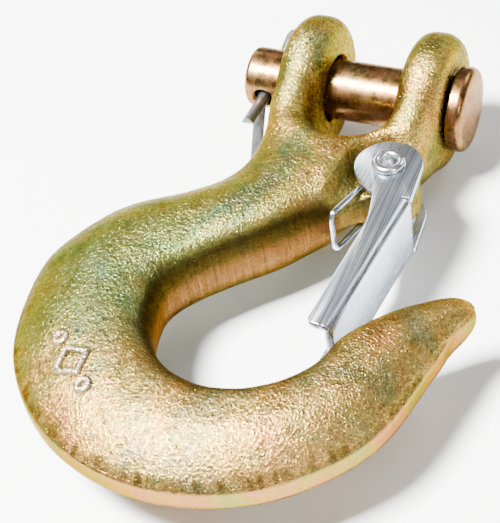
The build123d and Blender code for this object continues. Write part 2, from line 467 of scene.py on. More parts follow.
def addAttribute(piece, name, values):
    layer = piece.data.attributes.new(name, "FLOAT", "POINT")
    layer.data.foreach_set("value", np.asarray(values, np.float32))


# The hammered, scaly skin of a drop forging: broad swells, dents a few millimetres across and grit, each as
# (size, depth) in millimetres and faded out on the trimmed land. The trimmed flash leaves a shallow groove,
# exp(-((h - at) / width)^2) of the height h over the land, and ragged shear over it; the colour darkens both
# as painted shade along the crease.
forging = dict(swell=(9.0, 0.11), dent=(3.1, 0.05), grit=(1.25, 0.03), set=-0.12,
               groove=0.22, grooveAt=0.35, grooveWidth=0.7, shearAt=0.9, shearWidth=0.85)


def forgeSkin(piece, run):
    points, corners = meshArrays(piece)
    edges = edgePairs(piece)
    fromNeck = np.hypot(points[:, 0], points[:, 1] + 17)
    blendHere = ease((24 - fromNeck) / 8) * ease((np.hypot(points[:, 1], points[:, 2]) - 9.5) / 3)
    lugHere = ease((7.5 - np.hypot(points[:, 0] - seat["pivot"][0], points[:, 1] - seat["pivot"][1])) / 2)
    weight = 0.25 + 0.7 * blendHere * (1 - lugHere)
    points = smooth(points, edges, np.minimum(weight, 0.3), 4)
    points = smooth(points, edges, 0.8 * blendHere * (1 - lugHere), 34)
    normals = vertexNormals(points, corners)
    along, share, land = onSweep(points, run)
    onNeck = ease((points[:, 1] + 30) / 8) * ease((points[:, 0] + 22) / 5)
    edgeward = ease((0.12 - share) / 0.06) * (1 - onNeck)
    landHere = edgeward * ease((land + 0.25 - np.abs(points[:, 2])) / 0.4)
    overLand = np.abs(points[:, 2]) - land
    groove = edgeward * np.exp(-((overLand - forging["grooveAt"]) / forging["grooveWidth"]) ** 2)
    belowHeel = 0.35 + 0.65 * ease((-70 - points[:, 1]) / 16)
    # shear marks over the land, stronger lower on the bowl; the colour darkens them as painted shade as well
    # as marks
    shearAndShade = ease((0.2 - share) / 0.08) * (1 - onNeck) * belowHeel
    shearAndShade *= np.exp(-((overLand - forging["shearAt"]) / forging["shearWidth"]) ** 2)
    # inside: the inner wall, whose colour the material paints with shade and a floor reflection
    inside = ease((share - 0.90) / 0.08) * ease((-24 - points[:, 1]) / 5)
    calm = (1 - 0.85 * landHere) * (1 - 0.75 * lugHere) * (1 - 0.5 * inside)
    swell, dent, grit = (lumps(points, forging[kind][0], seed)
                         for seed, kind in enumerate(("swell", "dent", "grit"), 1))
    lift = forging["set"] + calm * (forging["swell"][1] * swell + forging["dent"][1] * dent
                                    + forging["grit"][1] * grit)
    lift -= forging["groove"] * groove
    points = points + normals * lift[:, None]
    low, high = (np.array(corner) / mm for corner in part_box("hook_body"))
    placePoints(piece, np.clip(points, low, high))
    # painted shade: low in the hollows of the dents and grit, so the colour darkens there as if shade fell
    # in them
    pitShade = 0.5 + 0.5 * (0.55 * dent + 0.45 * grit)
    for name, values in dict(land=landHere, groove=groove, shearAndShade=shearAndShade, inside=inside, along=along,
                             worn=np.zeros(len(points)), pitShade=pitShade).items():
        addAttribute(piece, name, values)
    print("body skinned", len(points), "points")


# Bore through both ears: a tool of the bore's radius that flares at each ear face by a rounded lip,
# lip exp(-((|x| - face) / width)^2).
def pinBore():
    x = np.linspace(-17, 17, 260)
    faces = body["gap"] / 2 - 0.1, body["earFace"] + 0.1
    lips = body["lip"] * sum(np.exp(-((np.abs(x) - face) / body["lipWidth"]) ** 2) for face in faces)
    return turned("pinBore", np.c_[x, body["boreRadius"] + lips], (0, 0, 0), (1, 0, 0), (0, 1, 0), 80)


# Raised forging marks on the heel, as rounded beads half sunk in the skin: a ring, a diamond,
# |a| + |b| = size, and a ring, in a row about an angle of the bowl and laid on the sweep's surface.
mark = dict(middle=-134.0, share=0.42, diamond=2.7, ring=0.9, pitch=5.4, bead=0.65, sink=0.05)


def raisedMarks(run):
    beads = []
    angle = math.radians(mark["middle"])
    outward = np.array([math.cos(angle), math.sin(angle)])
    tangent = np.array([outward[1], -outward[0]])
    radius = body["backRadius"] - mark["share"] * (body["backRadius"] - body["bowlRadius"])
    heart = (np.array(body["back"]) * (1 - mark["share"]) + np.array(body["bowl"]) * mark["share"]
             + radius * outward)
    t = np.linspace(0, 2 * np.pi, 64, endpoint=False)
    ring = np.full(len(t), mark["ring"])
    diamond = mark["diamond"] / (np.abs(np.cos(t)) + np.abs(np.sin(t)))
    for offset, reach in ((-mark["pitch"], ring), (0, diamond), (mark["pitch"], ring)):
        plan = (heart + tangent * (offset + reach * np.cos(t))[:, None]
                + outward * (reach * np.sin(t))[:, None])
        share, land = onSweep(np.c_[plan, 0 * t], run)[1:]
        high = sectionHeight(share, body["crest"], land)
        path = np.c_[plan, high + forging["set"] + mark["sink"]]
        beads.append(bead(path, mark["bead"]))
    return beads


# A closed bead: circles square to a closed path, one side vector level and the other square to it.
def bead(path, radius, around=12):
    along = np.roll(path, -1, 0) - np.roll(path, 1, 0)
    along /= np.linalg.norm(along, axis=1)[:, None]
    side = np.cross(along, (0, 0, 1.0))
    side /= np.linalg.norm(side, axis=1)[:, None]
    up = np.cross(side, along)
    t = np.linspace(0, 2 * np.pi, around, endpoint=False)[None, :, None]
    piece = loopSkin("bead", path[:, None] + radius * (np.cos(t) * side[:, None] + np.sin(t) * up[:, None]))
    addAttribute(piece, "worn", np.ones(len(path) * around))
    addAttribute(piece, "pitShade", np.full(len(path) * around, 0.7))
    return piece


def makeBody():
    run = smoothRun(bodyStations(), 260)
    piece = hookSweep(run)
    cut(piece, clevisGap())
    weld(piece, clevisBend(), earBoss(1), earBoss(-1))
    cut(piece, latchHollow(1), latchHollow(-1))
    lug = turned("lug", [(-seat["lugHalf"], seat["lugRadius"]), (seat["lugHalf"], seat["lugRadius"])],
                 (*seat["pivot"], 0), (0, 0, 1), (1, 0, 0))
    weld(piece, lug)
    applyModifiers(piece, ("REMESH", dict(mode="VOXEL", voxel_size=body["voxel"] * mm, adaptivity=0.0)))
    forgeSkin(piece, run)
    weld(piece, *raisedMarks(run))
    rivetHole = turned("rivetHole", [(-9, seat["rivetHole"]), (9, seat["rivetHole"])],
                       (*seat["pivot"], 0), (0, 0, 1), (1, 0, 0), 48)
    cut(piece, pinBore(), rivetHole)
    piece.name = "forgedHook"
    print("body done", len(piece.data.vertices), "points")
    return piece


hook = makeBody()
shadeSmooth(hook, 50)


# The clevis pin: a turned bar with a chamfered end, a broad head with a rounded rim and face a little
# crowned, and a cross hole for the cotter.
pin = dict(radius=5.55, left=-23.6, chamfer=0.9, headAt=15.8, headRadius=7.7, headThick=3.2, rim=1.35,
           crown=0.12, crossAt=-19.8, crossRadius=1.8, crossTilt=5.0)


def makePin():
    p = pin
    t = np.linspace(0, np.pi / 2, 12)
    rimIn = 0.5
    headEnd = p["headAt"] + p["headThick"]
    crown = np.linspace(p["headRadius"] - p["rim"], 0.02, 14)
    profile = np.concatenate([
        [(p["left"], 0.02), (p["left"], 2.4), (p["left"], p["radius"] - p["chamfer"])],
        np.stack([p["left"] + p["chamfer"] * (1 - np.cos(t)),
                  p["radius"] - p["chamfer"] * (1 - np.sin(t))], -1)[1:],
        [(x, p["radius"]) for x in np.linspace(-21, p["headAt"] - 0.4, 22)],
        [(p["headAt"] - 0.12, p["radius"] + 0.08), (p["headAt"], p["radius"] + 0.3),
         (p["headAt"], p["headRadius"] - rimIn)],
        np.stack([p["headAt"] + rimIn * (1 - np.cos(t)), p["headRadius"] - rimIn * (1 - np.sin(t))], -1)[1:],
        np.stack([headEnd - p["crown"] - p["rim"] * (1 - np.sin(t)),
                  p["headRadius"] - p["rim"] * (1 - np.cos(t))], -1),
        np.stack([headEnd - p["crown"] * (crown / crown[0]) ** 2, crown], -1)[1:]])
    piece = turned("clevisPin", profile, (0, 0, 0), (1, 0, 0), (0, 1, 0), 128)
    tilt = math.radians(p["crossTilt"])
    way = np.array([0, math.cos(tilt), math.sin(tilt)])
    u = np.linspace(-8, 8, 200)
    lip = 0.35 * np.exp(-((np.abs(u) - p["radius"] + 0.15) / 0.3) ** 2)
    tool = turned("crossHole", np.c_[u, p["crossRadius"] + lip], (p["crossAt"], 0, 0), way, (1, 0, 0), 48)
    cut(piece, tool)
    shadeSmooth(piece, 40)
    print("pin done", len(piece.data.vertices), "points")
    return piece


clevisPin = makePin()


# The cotter: half-round wire doubled back on itself. The path runs up one leg, round a teardrop eye of
# width r sin t sin^1.5(t/2) and length a cos t, and down the other leg, with the flat inside. Each leg
# is (degrees bent, length past the bend).
cotter = dict(radius=1.1, reach=7.0, upper=(8.0, 6.0), lower=(56.0, 10.5), bend=2.2,
              eye=1.584, eyeAt=-8.6, eyeFoot=-5.4, legFoot=-5.2)


# A leg from the pin's hole: straight, a bend of the given angle on a given radius, then straight.
def legPath(side, angle, length):
    c = cotter
    turn = math.radians(angle)
    t = np.linspace(0, turn, 14)[1:]
    start = c["reach"] - c["bend"] * math.tan(turn / 2)
    bend = np.stack([side * c["bend"] * (1 - np.cos(t)), start + c["bend"] * np.sin(t)], -1)
    rest = np.linspace(0, 1, 12)[1:, None]
    way = np.array([side * math.sin(turn), math.cos(turn)])
    end = bend[-1] + rest * (length - c["bend"] * math.tan(turn / 2)) * way
    down = np.stack([np.zeros(10), np.linspace(c["legFoot"], start, 10)], -1)
    return np.concatenate([down, bend, end])


def makeCotter():
    c = cotter
    t = np.linspace(0, 2 * np.pi, 90)[4:-4]
    half = c["eyeFoot"] - c["eyeAt"]
    eye = np.stack([c["eye"] * np.sin(t) * np.sin(t / 2) ** 1.5, c["eyeAt"] + half * np.cos(t)], -1)
    path = np.concatenate([legPath(1, *c["upper"])[::-1], eye, legPath(-1, *c["lower"])])
    along = np.gradient(path, axis=0)
    along /= np.linalg.norm(along, axis=1)[:, None]
    out = np.stack([along[:, 1], -along[:, 0]], -1)
    out *= np.sign(out[0, 0])
    t = np.linspace(0, np.pi, 15)
    # half disc: the round side out, the flat back on the path, its corners a little rounded
    across = np.concatenate([np.cos(t) * c["radius"], np.linspace(-0.9, 0.9, 5) * c["radius"]])
    outward = np.concatenate([0.08 + np.sin(t) * (c["radius"] - 0.08), np.full(5, 0.02)])
    plan = path[:, None] + out[:, None] * outward[None, :, None]
    tilt = math.radians(pin["crossTilt"])
    legWay = np.array([0, -math.cos(tilt), -math.sin(tilt)])
    sideWay = np.array([0, -math.sin(tilt), math.cos(tilt)])
    grid = (np.array([pin["crossAt"], 0, 0]) + across[None, :, None] * np.array([1.0, 0, 0])
            + plan[:, :, 0:1] * sideWay + plan[:, :, 1:2] * legWay)
    piece = ringSkin("cotterPin", grid)
    shadeSmooth(piece, 45)
    print("cotter done")
    return piece


cotterPin = makeCotter()


# The latch: a channel folded from sheet. Each arm is a flat plate, a round tab running down into a
# straight arm, and the web with its two rounded bends is one profile carried down their edges.
latch = dict(pivot=(11.6, -24.0), half=6.6, sheet=1.3, tab=5.8, tabAngles=(4, 238), webTop=(17.9, -31.2),
             webFoot=(15.1, -61.2), upIn=(11.3, -31.3), waist=(12.5, -37.5), depth=4.4, bend=1.7,
             corner=1.2, edge=0.18, hole=2.2)


# Points round a corner of a polygon: an arc of the given radius tangent to both of its sides.
def roundCorner(before, corner, after, radius, count=8):
    before, corner, after = (np.asarray(p, float) for p in (before, corner, after))
    a, b = before - corner, after - corner
    a, b = a / np.linalg.norm(a), b / np.linalg.norm(b)
    half = math.acos(np.clip(a @ b, -1, 1)) / 2
    centre = corner + (a + b) / np.linalg.norm(a + b) * radius / math.sin(half)
    start, end = corner + a * radius / math.tan(half), corner + b * radius / math.tan(half)
    u, v = (start - centre) / radius, (end - centre) / radius
    full = math.acos(np.clip(u @ v, -1, 1))
    t = np.linspace(0, 1, count)[:, None]
    return centre + radius * (np.sin((1 - t) * full) * u + np.sin(t * full) * v) / math.sin(full)


def latchFrame():
    top, foot = np.array(latch["webTop"]), np.array(latch["webFoot"])
    down = (foot - top) / np.linalg.norm(foot - top)
    return top, foot, down, np.array([down[1], -down[0]])


def armOutline():
    top, foot, down, inward = latchFrame()
    pivot, tab, bend = np.array(latch["pivot"]), latch["tab"], latch["bend"]
    lowOut = foot + inward * bend
    lowIn = foot + inward * latch["depth"]
    upIn, waist = np.array(latch["upIn"]), np.array(latch["waist"])
    # the tab's circle, from where the right edge leaves it round to where the left edge meets it
    tabArc = arc(pivot, tab, *latch["tabAngles"], 60)
    left = np.concatenate([roundCorner(tabArc[-1], upIn, waist, 1.2),
                           roundCorner(upIn, waist, lowIn, 9.0, 12),
                           roundCorner(waist, lowIn, lowOut, latch["corner"])])
    slit = top + inward * bend
    slitTop = slit - down * 0.1
    right = np.concatenate([[lowOut, slit + down * 0.3, slitTop],
                            roundCorner(slitTop, top - down * 0.3 + inward * 0.05, tabArc[0], 0.35)])
    return np.concatenate([tabArc, left, right])


# Moves each point of a closed outline inwards, square to the chord between its neighbours.
def drawIn(outline, distance):
    chord = np.roll(outline, -1, 0) - np.roll(outline, 1, 0)
    chord /= np.linalg.norm(chord, axis=1)[:, None].clip(1e-9)
    return outline + distance * np.stack([-chord[:, 1], chord[:, 0]], -1)


# A plate: its outline between two heights, the edges rounded by drawing the outline in.
def plate(outline, low, high, edge):
    turn = (1 - math.sqrt(0.5)) * edge
    rings = [(low, edge), (low + turn, turn), (low + edge, 0), (high - edge, 0), (high - turn, turn),
             (high, edge)]
    return ringSkin("arm", np.stack([np.c_[drawIn(outline, d), np.full(len(outline), z)] for z, d in rings]))


# Web and bends: the channel's profile in depth and height, carried down the web's outer line.
def webChannel():
    top, foot, down, inward = latchFrame()
    h, s, r, e = latch["half"], latch["sheet"], latch["bend"], latch["edge"]
    arm = r + 0.6
    outer = np.concatenate([[(arm, h)], arc((r, h - r), r, 90, 180, 14),
                            arc((r, r - h), r, 180, 270, 14), [(arm, -h)]])
    inner = np.concatenate([[(arm, s - h)], arc((r, r - h), r - s, 270, 180, 8),
                            arc((r, h - r), r - s, 180, 90, 8), [(arm, h - s)]])
    profile = np.concatenate([outer, inner])
    length = np.linalg.norm(foot - top)
    steps = np.concatenate([[0, 0.05, e], np.linspace(0.5, length - 0.5, 40),
                            [length - e, length - 0.05, length]])
    shrink = np.concatenate([[e, 0.3 * e, 0], np.zeros(40), [0, 0.3 * e, e]])
    grid = np.stack([drawIn(profile, d) for d in shrink])
    plan = top + steps[:, None, None] * down + grid[:, :, :1] * inward
    return ringSkin("webChannel", np.concatenate([plan, grid[:, :, 1:]], axis=2))


def makeLatch():
    outline, edge = armOutline(), latch["edge"]
    high, low = latch["half"], latch["half"] - latch["sheet"]
    piece = webChannel()
    weld(piece, plate(outline, low, high, edge), plate(outline, -high, -low, edge))
    hole = turned("tabHole", [(-9, latch["hole"]), (9, latch["hole"])], (*latch["pivot"], 0),
                  (0, 0, 1), (1, 0, 0), 64)
    cut(piece, hole)
    piece.name = "latchSheet"
    shadeSmooth(piece, 32)
    print("latch done", len(piece.data.vertices), "points")
    return piece


latchSheet = makeLatch()


# Semi-tubular rivet: the front end rolled over into a ring round its bore, with a small pip at the
# bore's floor, and the back head domed.
rivet = dict(radius=2.1, bore=1.35, roll=2.9, rollHigh=1.05, head=3.7, headHigh=1.3, play=0.1,
             pipLow=2.3, pipHigh=1.25)


def makeRivet():
    r = rivet
    face = latch["half"] + r["play"]
    t = np.linspace(0, np.pi, 18)
    ringMid, ringHalf = (r["roll"] + r["bore"]) / 2, (r["roll"] - r["bore"]) / 2
    rollEdge = 0.12
    roll = np.stack([face + rollEdge + (r["rollHigh"] - rollEdge) * np.sin(t) ** 0.8,
                     ringMid + ringHalf * np.cos(t)], -1)
    dome = np.linspace(0, np.pi / 2, 14)
    profile = np.concatenate([
        np.stack([-face - r["headHigh"] * np.cos(dome) ** 0.9,
                  r["head"] * np.sin(dome).clip(0.005)], -1)[:-1],
        [(-face - 0.1, r["head"]), (-face, r["head"] - 0.1), (-face, r["radius"]), (face, r["radius"]),
         (face, r["roll"] - 0.1)],
        roll,
        [(face - r["pipLow"] + 0.4, r["bore"] - 0.1), (face - r["pipLow"], 1.1), (face - r["pipLow"], 0.8),
         (face - r["pipHigh"] - 0.25, 0.6), (face - r["pipHigh"] - 0.05, 0.4), (face - r["pipHigh"], 0.01)]])
    piece = turned("latchRivet", profile, (*seat["pivot"], 0), (0, 0, 1), (1, 0, 0), 72)
    shadeSmooth(piece, 40)
    print("rivet done")
    return piece


latchRivet = makeRivet()


# Spring wire: one path from a leg inside the web, round a coil, down to the loop on the shank, across
# and back the same way. A coil turns from the leg's side to the strand's and once more round, its
# radius and height growing evenly.
spring = dict(wire=0.53, coil=(3.55, 2.75), coilHigh=(4.75, 3.9), turn=555.0, bridge=(5.2, -36.2),
              strandHigh=4.3, leg=(15.2, -35.6), corner=1.3)


def springSide():
    s = spring
    pivot = np.array(seat["pivot"])
    t = np.linspace(0, 1, 110)
    angle = np.radians(s["turn"] * t)
    radius = s["coil"][0] + (s["coil"][1] - s["coil"][0]) * t
    coil = np.c_[pivot[0] + radius * np.cos(angle), pivot[1] + radius * np.sin(angle),
                 s["coilHigh"][0] + (s["coilHigh"][1] - s["coilHigh"][0]) * t]
    u = np.linspace(0, 1, 20)[:-1, None]
    legEnd = np.array([*s["leg"], s["coilHigh"][0] - 0.3])
    leg = legEnd + u * (coil[0] - legEnd)
    low = np.array([*s["bridge"], s["strandHigh"]])
    strand = coil[-1] + np.linspace(0, 1, 22)[1:, None] * (low - coil[-1])
    return leg, coil, strand


def makeSpring():
    s = spring
    leg, coil, strand = springSide()
    reach = np.linalg.norm(strand[-1] - strand[0])
    way = (strand[-1] - strand[0]) / reach
    stop = strand[np.linalg.norm(strand - strand[-1], axis=1) > s["corner"]]
    t = np.linspace(0, np.pi / 2, 9)[:, None]
    turnIn = stop[-1] + s["corner"] * (np.sin(t) * way + (1 - np.cos(t)) * np.array([0, 0, -1.0]))
    front = np.concatenate([leg, coil, stop, turnIn[1:]])
    back = front[::-1] * (1, 1, -1)
    bar = np.linspace(0, 1, 16)[1:-1, None]
    path = np.concatenate([front, front[-1] + bar * (back[0] - front[-1]), back])
    for k in range(6):      # softens the joins of the path's runs
        path[1:-1] += 0.5 * ((path[:-2] + path[2:]) / 2 - path[1:-1])
    ring = wireRings(path, s["wire"])
    close = np.sin(np.linspace(0, np.pi / 2, 5))[:-1]
    size = np.concatenate([close.clip(0.05), np.ones(len(path) - 8), close[::-1].clip(0.05)])
    piece = ringSkin("latchSpring", path[:, None] + ring * size[:, None, None])
    shadeSmooth(piece, 60)
    print("spring done")
    return piece


latchSpring = makeSpring()


# A new material: its tree, its shader and the object coordinates that its patterns read.
def newMaterial(name, **shaderValues):
    material = bpy.data.materials.new(name)
    material.use_nodes = True
    tree = material.node_tree
    shader = tree.nodes["Principled BSDF"]
    for socket, value in shaderValues.items():
        shader.inputs[socket.replace("_", " ")].default_value = value
    place = addNode(tree, "ShaderNodeTexCoord").outputs["Object"]
    return material, tree, shader, place


# A colour ramp with its stops as (position, hex).
def ramp(tree, source, stops):
    node = addNode(tree, "ShaderNodeValToRGB", links={"Fac": source})
    bar = node.color_ramp
    while len(bar.elements) < len(stops):
        bar.elements.new(0.5)
    for element, (position, colour) in zip(bar.elements, stops):
        element.position, element.color = position, tone(colour)
    return node.outputs["Color"]


def blendColours(tree, share, first, second, mode="MIX"):
    node = addNode(tree, "ShaderNodeMix", dict(data_type="RGBA", blend_type=mode))
    for socket, value in ((0, share), (6, first), (7, second)):
        if isinstance(value, bpy.types.NodeSocket):
            tree.links.new(value, node.inputs[socket])
        else:
            node.inputs[socket].default_value = value
    return node.outputs[2]


# Noise whose grain is a real size in millimetres, 1 / size in metres being the node's scale.
def grain(tree, place, size, detail=3.0, distortion=0.0, roughness=0.55):
    values = {"Scale": 1 / (size * mm), "Detail": detail, "Distortion": distortion, "Roughness": roughness}
    return addNode(tree, "ShaderNodeTexNoise", values=values, links={"Vector": place}).outputs["Fac"]


def scaled(tree, source, low, high, toLow, toHigh):
    values = {"From Min": low, "From Max": high, "To Min": toLow, "To Max": toHigh}
    return addNode(tree, "ShaderNodeMapRange", values=values, links={"Value": source}).outputs["Result"]


def worked(tree, operation, first, second):
    node = addNode(tree, "ShaderNodeMath", dict(operation=operation))
    for socket, value in zip(node.inputs, (first, second)):
        if isinstance(value, bpy.types.NodeSocket):
            tree.links.new(value, socket)
        else:
            socket.default_value = value
    return node.outputs[0]


def bumped(tree, height, distance, strength, under=None):
    links = {"Height": height}
    if under is not None:
        links["Normal"] = under
    values = {"Distance": distance * mm}
    if isinstance(strength, bpy.types.NodeSocket):
        links["Strength"] = strength
    else:
        values["Strength"] = strength
    return addNode(tree, "ShaderNodeBump", values=values, links=links).outputs["Normal"]


def field(tree, name):
    return addNode(tree, "ShaderNodeAttribute", dict(attribute_name=name)).outputs["Fac"]


# Drop-forged steel under a yellow zinc chromate: a thin conversion film over pitted metal. It gives the eye
# an olive-gold ground that drifts to blue-green and rose, gritty sparkle, painted shade in the pits, along
# the crease over the land and on the inner wall with a painted floor reflection, and edges that stay dull
# where the view grazes them.
forgedLook = dict(drift=17.0, patch=3.2, speck=0.62, grit=0.34, trimmed=7.0, shoulder=(72, 140),
                  streaksPerMm=3.4, roughness=(0.20, 0.38), film="E6DFC8", grazing="B8AE93")


def forgedYellowZinc():
    look = forgedLook
    material, tree, shader, place = newMaterial("forgedYellowZinc", Metallic=1.0,
                                                Specular_Tint=tone(look["grazing"]))
    names = ("land", "groove", "shearAndShade", "inside", "pitShade", "along", "worn")
    land, groove, shearAndShade, inside, pitShade, along, worn = (field(tree, name) for name in names)
    drift = grain(tree, place, look["drift"], 3, 0.8)
    patch = grain(tree, place, look["patch"], 4, 0.5)
    speck = grain(tree, place, look["speck"], 3)
    grit = grain(tree, place, look["grit"], 2)
    ground = ramp(tree, drift, [(0.32, "6F8B80"), (0.43, "95996B"), (0.53, "B3A561"), (0.62, "BD9866"),
                                (0.72, "AE7A72")])
    patches = ramp(tree, patch, [(0.32, "6B8A7A"), (0.43, "9A9A63"), (0.52, "BFAA68"), (0.61, "C3966A"),
                                 (0.71, "A66C62")])
    colour = blendColours(tree, 0.3, ground, patches)
    # the film is thinner and bluer on the shoulder, rosier from the heel to the tip
    shoulder = scaled(tree, along, *look["shoulder"], 0.0, 1.0)
    hue = ramp(tree, shoulder, [(0.0, "FFE4D4"), (0.2, "A9CAC4"), (0.55, "ACD0C2"), (1.0, "FAF2CC")])
    colour = blendColours(tree, 0.85, colour, hue, "MULTIPLY")
    specks = ramp(tree, speck, [(0.30, "4A4030"), (0.43, "C4BC9C"), (0.54, "FFFFFF")])
    colour = blendColours(tree, 0.6, colour, specks, "MULTIPLY")
    # painted shade in the pits: darker where the dents and grit dip, standing in for the shade in those
    # hollows
    pitShadeTint = ramp(tree, pitShade, [(0.25, "7D7152"), (0.48, "FFFFFF")])
    colour = blendColours(tree, 0.4, colour, pitShadeTint, "MULTIPLY")
    # trimmed land: smoother, rose to yellow-green in long patches
    trimmed = ramp(tree, grain(tree, place, look["trimmed"], 3, 0.4), [(0.38, "83844F"), (0.5, "A08446"),
                                                                       (0.62, "A8735C")])
    colour = blendColours(tree, worked(tree, "MULTIPLY", land, 0.85), colour, trimmed)
    # shear marks: streaks across the body's thickness, about 0.3 mm apart along it
    height = addNode(tree, "ShaderNodeSeparateXYZ", links={"Vector": place}).outputs["Z"]
    streakPlace = addNode(tree, "ShaderNodeCombineXYZ", links={
        "X": worked(tree, "MULTIPLY", along, look["streaksPerMm"]),
        "Y": worked(tree, "MULTIPLY", height, 90.0)}).outputs["Vector"]
    streak = addNode(tree, "ShaderNodeTexNoise", values={"Scale": 1.0, "Detail": 3.0},
                     links={"Vector": streakPlace}).outputs["Fac"]
    streaks = ramp(tree, streak, [(0.34, "4E3F26"), (0.5, "B59F80"), (0.64, "FFFFFF")])
    # the inner wall: painted shade and painted reflection; rose-brown low down as a painted reflection of
    # the pale floor, dark brown where it turns up to the rim as painted shade
    wall = ramp(tree, scaled(tree, height, -6.5 * mm, 6.5 * mm, 0, 1),
                [(0.1, "4A3826"), (0.3, "7E5A42"), (0.5, "744F39"), (0.66, "382B17"), (0.95, "33280F")])
    wall = blendColours(tree, 0.6, wall, streaks, "MULTIPLY")
    colour = blendColours(tree, worked(tree, "MULTIPLY", inside, 0.92), colour, wall)
    # painted shade along the crease: the shear streaks and the groove over the land darkened, over real trim
    # marks
    hatch = scaled(tree, streak, 0.40, 0.56, 0.85, 0.0)
    colour = blendColours(tree, worked(tree, "MULTIPLY", shearAndShade, hatch), colour, tone("3E321C"))
    grooveShade = worked(tree, "MULTIPLY", groove, scaled(tree, hatch, 0, 1, 0.35, 0.7))
    colour = blendColours(tree, grooveShade, colour, tone("3B2F1A"))
    silver = ramp(tree, patch, [(0.4, "9C978C"), (0.6, "B8B3A8")])
    colour = blendColours(tree, worked(tree, "MULTIPLY", worn, 0.65), colour, silver)
    colour = blendColours(tree, 1.0, colour, tone(look["film"]), "MULTIPLY")
    tree.links.new(colour, shader.inputs["Base Color"])
    low, high = look["roughness"]
    rough = scaled(tree, speck, 0.32, 0.68, high, low)
    rough = worked(tree, "ADD", rough, worked(tree, "MULTIPLY", inside, 0.08))
    tree.links.new(rough, shader.inputs["Roughness"])
    still = worked(tree, "MAXIMUM", land, worked(tree, "MULTIPLY", inside, 0.6))
    calm = scaled(tree, still, 0, 1, 1.0, 0.25)
    normal = bumped(tree, patch, 0.4, worked(tree, "MULTIPLY", calm, 0.3))
    normal = bumped(tree, speck, 0.22, worked(tree, "MULTIPLY", calm, 0.8), normal)
    normal = bumped(tree, grit, 0.18, calm, normal)
    streaked = worked(tree, "MULTIPLY", worked(tree, "MAXIMUM", inside, groove), 0.5)
    normal = bumped(tree, streak, 0.25, streaked, normal)
    tree.links.new(normal, shader.inputs["Normal"])
    return material


# Turned bar under the same yellow zinc: smoother, so it shows long rose and brown reflections with fine
# turning marks round the axis.
turnedLook = dict(drift=9.0, patch=2.2, turning=0.22, nick=0.7, roughness=(0.20, 0.36),
                  film="DCCCB2", grazing="DDD2C6")


def turnedYellowZinc():
    look = turnedLook
    material, tree, shader, place = newMaterial("turnedYellowZinc", Metallic=1.0,
                                                Specular_Tint=tone(look["grazing"]))
    drift = grain(tree, place, look["drift"], 3, 0.8)
    patch = grain(tree, place, look["patch"], 4)
    ground = ramp(tree, drift, [(0.36, "8E8460"), (0.46, "997A50"), (0.54, "8C6548"), (0.62, "947A57"),
                                (0.72, "80825E")])
    patches = ramp(tree, patch, [(0.36, "887C50"), (0.5, "A38964"), (0.64, "8E6454")])
    colour = blendColours(tree, 0.45, ground, patches)
    stretched = addNode(tree, "ShaderNodeMapping", values={"Scale": (1000 / look["turning"], 60, 60)},
                        links={"Vector": place}).outputs["Vector"]
    marks = addNode(tree, "ShaderNodeTexNoise", values={"Scale": 1.0, "Detail": 2.0},
                    links={"Vector": stretched}).outputs["Fac"]
    shade = ramp(tree, marks, [(0.3, "B9B0A0"), (0.6, "FFFFFF")])
    colour = blendColours(tree, 0.5, colour, shade, "MULTIPLY")
    nicks = ramp(tree, grain(tree, place, look["nick"], 3), [(0.30, "6A5C40"), (0.40, "FFFFFF")])
    colour = blendColours(tree, 0.6, colour, nicks, "MULTIPLY")
    colour = blendColours(tree, 1.0, colour, tone(look["film"]), "MULTIPLY")
    tree.links.new(colour, shader.inputs["Base Color"])
    low, high = look["roughness"]
    tree.links.new(scaled(tree, patch, 0.35, 0.65, low, high), shader.inputs["Roughness"])
    normal = bumped(tree, patch, 0.12, 0.3)
    normal = bumped(tree, marks, 0.02, 0.4, normal)
    normal = bumped(tree, grain(tree, place, 0.5, 2), 0.03, 0.4, normal)
    tree.links.new(normal, shader.inputs["Normal"])
    return material


# Bright zinc-plated spring sheet, cold rolled: cool pale grey with faint rolling lines down its length
# and a soft clouding of the plating.
sheetLook = dict(cloud=8.0, rolling=0.25, slope=-5.3, speck=0.55, roughness=(0.20, 0.34), grazing="A8ABB0")


def brightZincSheet():
    look = sheetLook
    material, tree, shader, place = newMaterial("brightZincSheet", Metallic=1.0,
                                                Specular_Tint=tone(look["grazing"]))
    cloud = grain(tree, place, look["cloud"], 4, 0.3)
    ground = ramp(tree, cloud, [(0.35, "B4BFCB"), (0.5, "C2C9D1"), (0.65, "CDD1D4")])
    turnBack = (0, 0, math.radians(look["slope"]))
    stretch = (1000 / look["rolling"], 35, 1000 / look["rolling"])
    along = addNode(tree, "ShaderNodeMapping", values={"Rotation": turnBack, "Scale": stretch},
                    links={"Vector": place}).outputs["Vector"]
    lines = addNode(tree, "ShaderNodeTexNoise", values={"Scale": 1.0, "Detail": 2.0},
                    links={"Vector": along}).outputs["Fac"]
    rolled = ramp(tree, lines, [(0.3, "B8BEC6"), (0.6, "FFFFFF")])
    colour = blendColours(tree, 0.08, ground, rolled, "MULTIPLY")
    specks = ramp(tree, grain(tree, place, look["speck"], 2), [(0.27, "7C838C"), (0.34, "FFFFFF")])
    colour = blendColours(tree, 0.5, colour, specks, "MULTIPLY")
    tree.links.new(colour, shader.inputs["Base Color"])
    low, high = look["roughness"]
    tree.links.new(scaled(tree, lines, 0.3, 0.7, low, high), shader.inputs["Roughness"])
    normal = bumped(tree, cloud, 0.15, 0.15)
    normal = bumped(tree, lines, 0.004, 0.1, normal)
    tree.links.new(normal, shader.inputs["Normal"])
    return material


